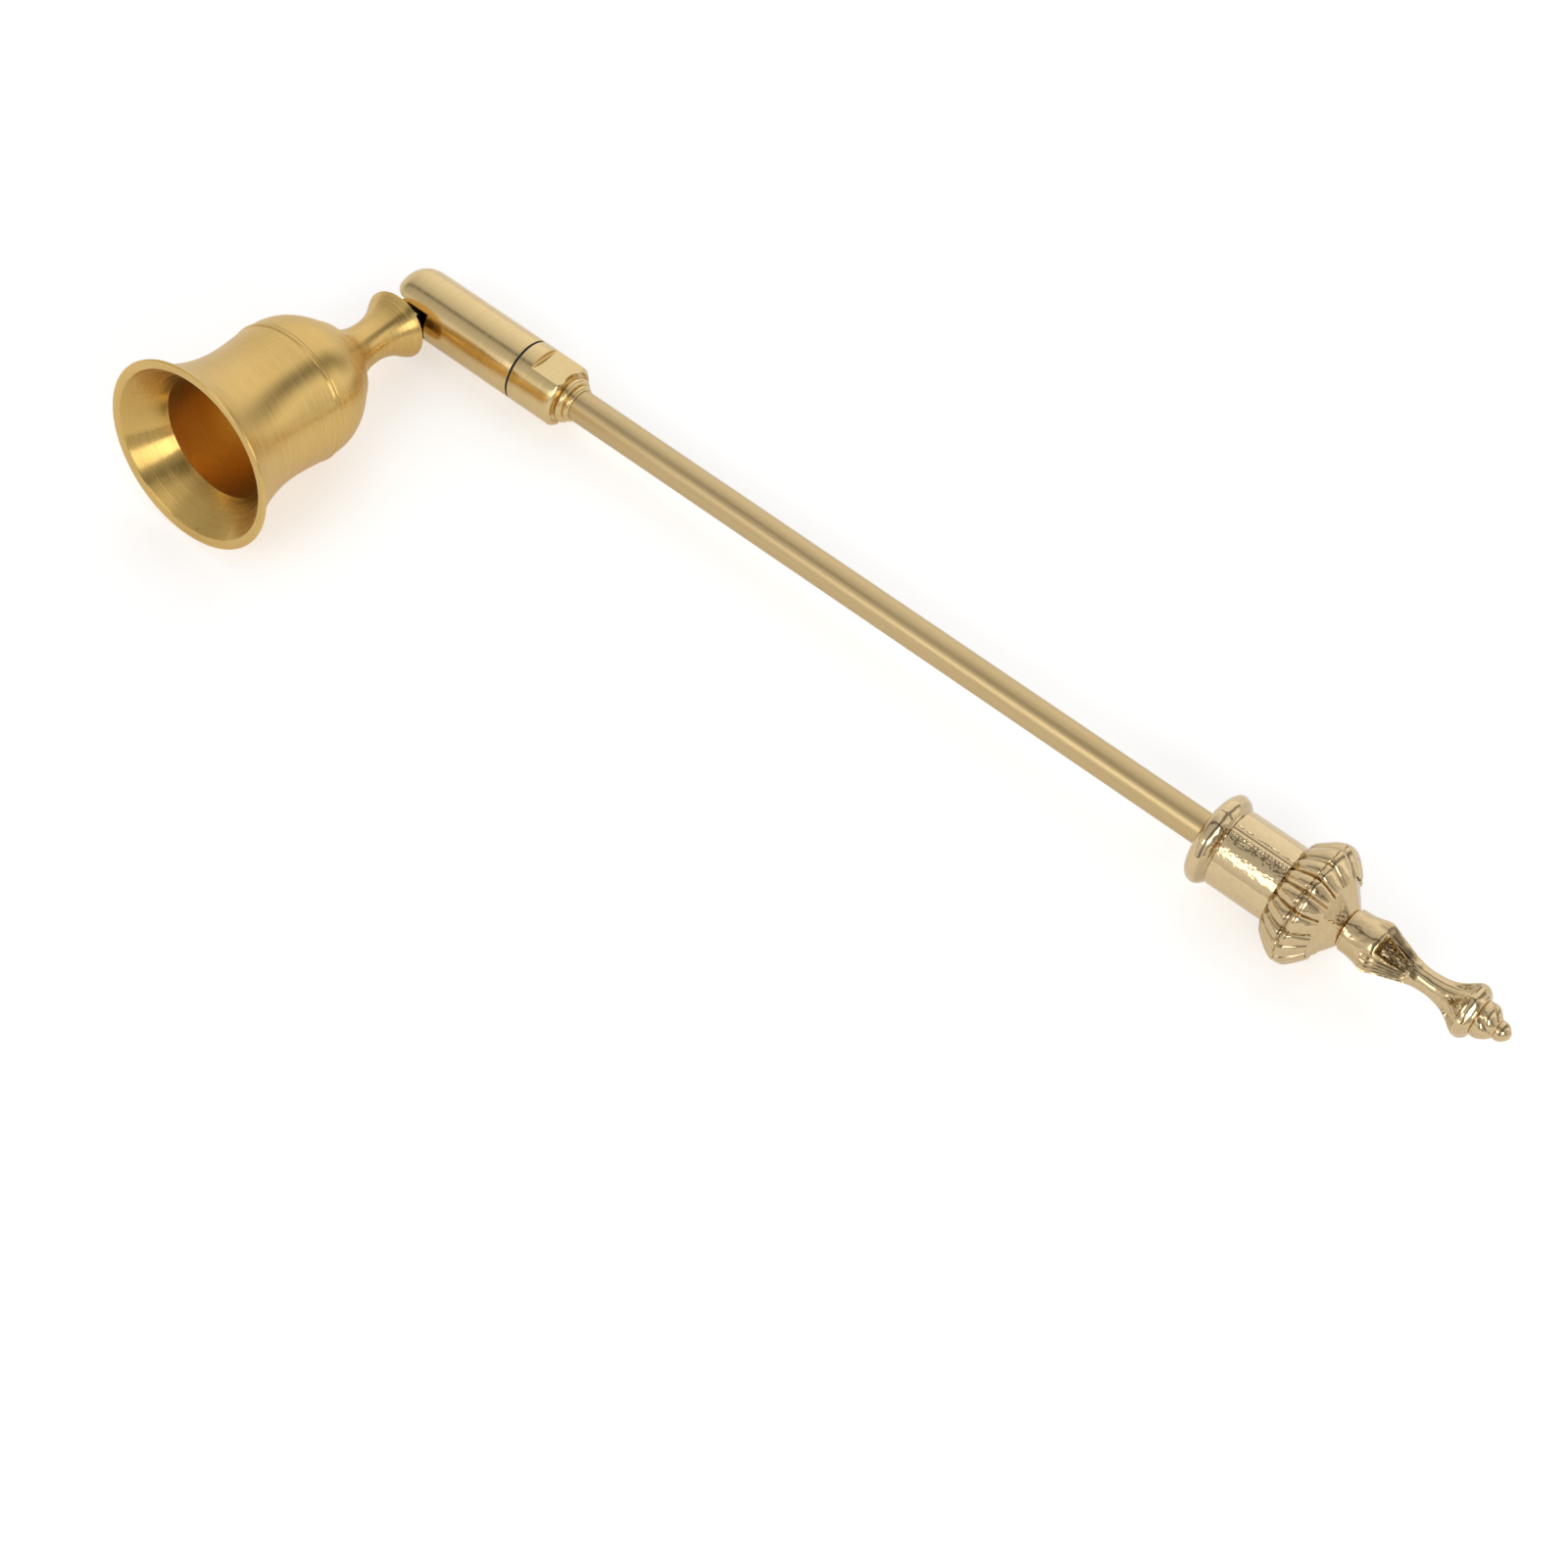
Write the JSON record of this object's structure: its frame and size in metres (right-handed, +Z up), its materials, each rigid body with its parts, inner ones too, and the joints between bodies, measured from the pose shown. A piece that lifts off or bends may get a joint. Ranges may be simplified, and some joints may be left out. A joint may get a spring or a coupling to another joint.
{
  "type": "candle snuffer",
  "caption": "Brass candle snuffer: a turned bell that folds and swivels on a slotted barrel, a straight round rod, and a cast handle with a lobed knop and a ribbed finial.",
  "frame": {"origin": "centre of the bounding box's footprint, on the table that the snuffer lies on", "axes": "+X along the rod from the head to the handle, +Y away from the bell's mouth, so that the mouth faces -Y, +Z up from the table"},
  "size_m": [0.2098, 0.0626, 0.0301],
  "materials": {
    "bell_brass": "satin, brushed round its axis",
    "head_brass": "polished satin",
    "rod_brass": "satin, drawn along its length",
    "cast_gold": "bright plated casting",
    "black_nylon": "matte",
    "stud_steel": "plain machined"
  },
  "bodies": {
    "handle": {"end_collar": "head_brass", "collar_plug": "head_brass", "rod_ring": "head_brass", "rod": "rod_brass", "handle_sleeve": "cast_gold", "handle_knop": "cast_gold", "handle_finial": "cast_gold", "tie_stud": "stud_steel"},
    "head": {"barrel": "head_brass", "pivot_pin": "head_brass", "friction_washer_upper": "black_nylon", "friction_washer_lower": "black_nylon", "swivel_stud": "stud_steel", "disc_spring": "stud_steel", "swivel_washer": "black_nylon"},
    "bell": {"bell_cup": "bell_brass", "bell_neck": "bell_brass", "hinge_tongue": "head_brass"}
  },
  "joints": [
    {"name": "head_swivel", "type": "hinge", "parent": "handle", "child": "head", "pos_m": [-0.06982, 0.02162, 0.00558], "axis": [0.9996, 0, 0.0295], "continuous": true},
    {"name": "bell_tilt", "type": "hinge", "parent": "head", "child": "bell", "pos_m": [-0.08941, 0.02162, 0.005], "axis": [-0.0289, 0.2031, 0.9787], "range_deg": [-90, 10]}
  ]
}
